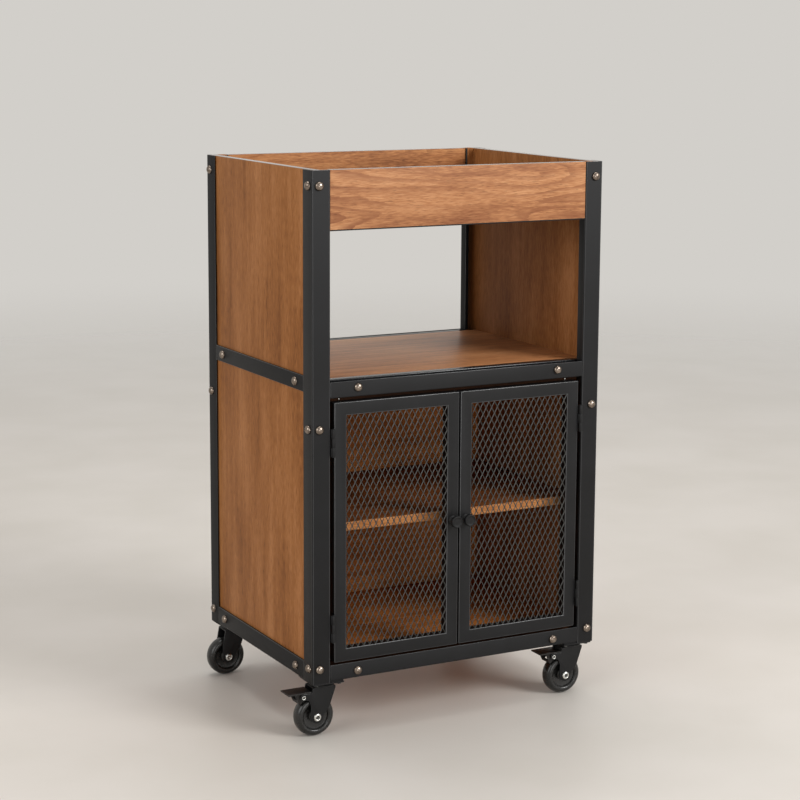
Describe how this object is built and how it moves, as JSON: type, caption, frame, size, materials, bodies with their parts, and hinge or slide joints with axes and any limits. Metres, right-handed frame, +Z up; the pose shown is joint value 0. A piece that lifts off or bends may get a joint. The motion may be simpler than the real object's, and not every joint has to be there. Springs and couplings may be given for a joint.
{
  "type": "microwave cart",
  "caption": "Rolling steel-framed wooden cart: open tray on top, open microwave bay, cabinet with mesh doors, swivel casters with brake levers.",
  "frame": {"origin": "centre of the microwave shelf's top face", "axes": "+X to the right seen from the doors, -Y towards the door side, +Z up; casters rest trailing towards -X"},
  "size_m": [0.6475, 0.4905, 1.028],
  "materials": {
    "frame_steel": "matte black powder coat",
    "door_steel": "satin black powder coat",
    "mesh_steel": "black powder coat, rubbed on the strand edges",
    "wood": "walnut-brown satin lacquer",
    "bolt_nickel": "aged nickel plating",
    "zinc": "bright zinc plating",
    "caster_steel": "black electrocoat",
    "lever_steel": "black electrocoat, worn at the tip",
    "caster_tread": "smooth dark rubber",
    "catch_plastic": "dark brown plastic"
  },
  "bodies": {
    "cart": {"front_left_post": "frame_steel", "front_right_post": "frame_steel", "rear_left_post": "frame_steel", "rear_right_post": "frame_steel", "left_side_panel": "wood", "left_side_mid_rail": "frame_steel", "left_side_bottom_rail": "frame_steel", "right_side_panel": "wood", "right_side_mid_rail": "frame_steel", "right_side_bottom_rail": "frame_steel", "front_mid_rail": "frame_steel", "front_bottom_rail": "frame_steel", "front_shelf_trim": "frame_steel", "front_mid_stretcher": "wood", "front_bottom_stretcher": "wood", "rear_mid_rail": "frame_steel", "rear_bottom_rail": "frame_steel", "rear_shelf_trim": "frame_steel", "rear_mid_stretcher": "wood", "rear_bottom_stretcher": "wood", "microwave_shelf": "wood", "cabinet_floor": "wood", "cabinet_back": "wood", "inner_shelf": "wood", "tray_front_board": "wood", "tray_back_board": "wood", "tray_corner_blocks": "wood", "tray_floor": "frame_steel", "foot_plates": "frame_steel", "post_hinge_leaves": "door_steel", "hinge_pins": "door_steel", "post_bolts": "bolt_nickel", "rail_bolts": "bolt_nickel", "stretcher_screws": "bolt_nickel", "shelf_pins": "zinc", "caster_bolts": "zinc", "caster_plates": "caster_steel", "door_catch": "catch_plastic"},
    "left_door": {"left_door_frame": "door_steel", "left_door_mesh": "mesh_steel", "left_knob": "door_steel", "left_door_hinge_leaves": "door_steel"},
    "right_door": {"right_door_frame": "door_steel", "right_door_mesh": "mesh_steel", "right_knob": "door_steel", "right_door_hinge_leaves": "door_steel"},
    "front_left_caster": {"front_left_caster_fork": "caster_steel", "front_left_axle": "zinc"},
    "front_left_wheel_body": {"front_left_wheel": "caster_tread"},
    "front_right_caster": {"front_right_caster_fork": "caster_steel", "front_right_axle": "zinc"},
    "front_right_wheel_body": {"front_right_wheel": "caster_tread"},
    "rear_left_caster": {"rear_left_caster_fork": "caster_steel", "rear_left_axle": "zinc"},
    "rear_left_wheel_body": {"rear_left_wheel": "caster_tread"},
    "rear_right_caster": {"rear_right_caster_fork": "caster_steel", "rear_right_axle": "zinc"},
    "rear_right_wheel_body": {"rear_right_wheel": "caster_tread"},
    "front_left_brake": {"front_left_brake_lever": "lever_steel"},
    "front_right_brake": {"front_right_brake_lever": "lever_steel"}
  },
  "joints": [
    {"name": "left_door_hinge", "type": "hinge", "parent": "cart", "child": "left_door", "pos_m": [-0.26, -0.2355, -0.28], "axis": [0, 0, 1], "range_deg": [-165, 0]},
    {"name": "right_door_hinge", "type": "hinge", "parent": "cart", "child": "right_door", "pos_m": [0.26, -0.2355, -0.28], "axis": [0, 0, 1], "range_deg": [0, 165]},
    {"name": "front_left_swivel", "type": "hinge", "parent": "cart", "child": "front_left_caster", "pos_m": [-0.266, -0.201, -0.562], "axis": [0, 0, 1], "continuous": true},
    {"name": "front_left_wheel_spin", "type": "hinge", "parent": "front_left_caster", "child": "front_left_wheel_body", "pos_m": [-0.284, -0.201, -0.6175], "axis": [0, 1, 0], "continuous": true},
    {"name": "front_left_brake_hinge", "type": "hinge", "parent": "front_left_caster", "child": "front_left_brake", "pos_m": [-0.311, -0.201, -0.577], "axis": [0, 1, 0], "range_deg": [-20, 0]},
    {"name": "front_right_swivel", "type": "hinge", "parent": "cart", "child": "front_right_caster", "pos_m": [0.266, -0.201, -0.562], "axis": [0, 0, 1], "continuous": true},
    {"name": "front_right_wheel_spin", "type": "hinge", "parent": "front_right_caster", "child": "front_right_wheel_body", "pos_m": [0.248, -0.201, -0.6175], "axis": [0, 1, 0], "continuous": true},
    {"name": "front_right_brake_hinge", "type": "hinge", "parent": "front_right_caster", "child": "front_right_brake", "pos_m": [0.221, -0.201, -0.577], "axis": [0, 1, 0], "range_deg": [-20, 0]},
    {"name": "rear_left_swivel", "type": "hinge", "parent": "cart", "child": "rear_left_caster", "pos_m": [-0.266, 0.201, -0.562], "axis": [0, 0, 1], "continuous": true},
    {"name": "rear_left_wheel_spin", "type": "hinge", "parent": "rear_left_caster", "child": "rear_left_wheel_body", "pos_m": [-0.284, 0.201, -0.6175], "axis": [0, 1, 0], "continuous": true},
    {"name": "rear_right_swivel", "type": "hinge", "parent": "cart", "child": "rear_right_caster", "pos_m": [0.266, 0.201, -0.562], "axis": [0, 0, 1], "continuous": true},
    {"name": "rear_right_wheel_spin", "type": "hinge", "parent": "rear_right_caster", "child": "rear_right_wheel_body", "pos_m": [0.248, 0.201, -0.6175], "axis": [0, 1, 0], "continuous": true}
  ]
}
